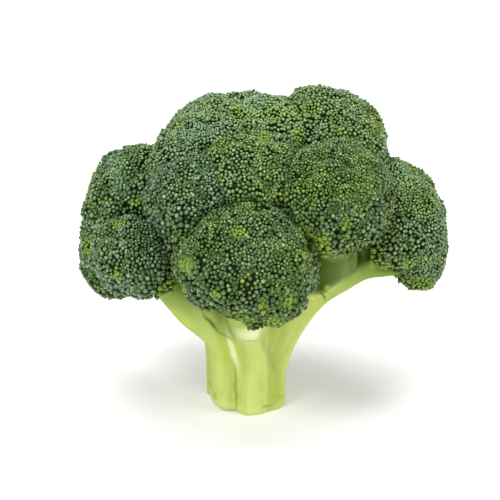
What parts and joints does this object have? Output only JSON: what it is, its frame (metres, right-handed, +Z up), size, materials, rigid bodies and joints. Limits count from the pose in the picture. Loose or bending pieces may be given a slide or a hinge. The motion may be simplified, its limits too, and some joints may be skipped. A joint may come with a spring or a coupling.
{
  "type": "broccoli head",
  "caption": "Head of broccoli standing on its cut stalk: a pale fluted stalk that divides into branches, which carry domed dark green florets covered in buds.",
  "frame": {"origin": "middle of the stalk's cut end, on the surface that the head stands on", "axes": "+Z up along the stalk; -Y to the front, where the low front floret is; +X to the right, where the floret on the long open branch is"},
  "size_m": [0.1611, 0.1518, 0.1404],
  "materials": {
    "stalk": "satin, waxy plant stem: pale yellow-green skin with lighter ribs, and a moist cut end",
    "buds": "matt to satin, tightly packed dark green flower buds with paler bluish-green tips"
  },
  "bodies": {
    "root": {"stalk": "stalk", "floret_front": "buds", "floret_front_left_low": "buds", "floret_left": "buds", "floret_left_low": "buds", "floret_front_left": "buds", "floret_middle": "buds", "floret_front_right": "buds", "floret_right": "buds", "floret_top_right": "buds", "floret_top_left": "buds", "floret_top_back_left": "buds", "floret_top": "buds", "floret_top_back": "buds", "floret_back_left": "buds", "floret_back": "buds", "floret_back_right": "buds"}
  },
  "joints": []
}
